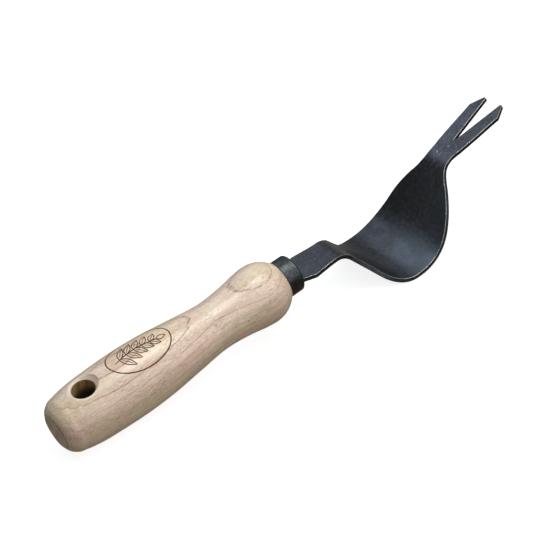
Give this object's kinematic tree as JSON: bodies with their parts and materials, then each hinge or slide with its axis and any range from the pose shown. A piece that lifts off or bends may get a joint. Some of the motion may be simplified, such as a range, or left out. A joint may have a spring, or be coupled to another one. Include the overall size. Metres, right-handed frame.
{
  "type": "hand weeder",
  "caption": "Hand weeder with a turned wooden handle, a black steel ferrule and a forged blade bent into a rounded heel that levers a forked tip.",
  "frame": {"origin": "centre of the flat face at the handle's butt", "axes": "+X along the handle's axis towards the fork's tips, +Z towards the blade's upper side, +Y across the blade"},
  "size_m": [0.2912, 0.055, 0.0481],
  "materials": {
    "handle_wood": "pale ring-porous hardwood under a thin clear satin lacquer",
    "ferrule_steel": "black oxide finish, satin",
    "blade_steel": "forged, black oxide finish, satin, worn bright along the edges"
  },
  "bodies": {
    "root": {"handle": "handle_wood", "ferrule": "ferrule_steel", "blade": "blade_steel"}
  },
  "joints": []
}
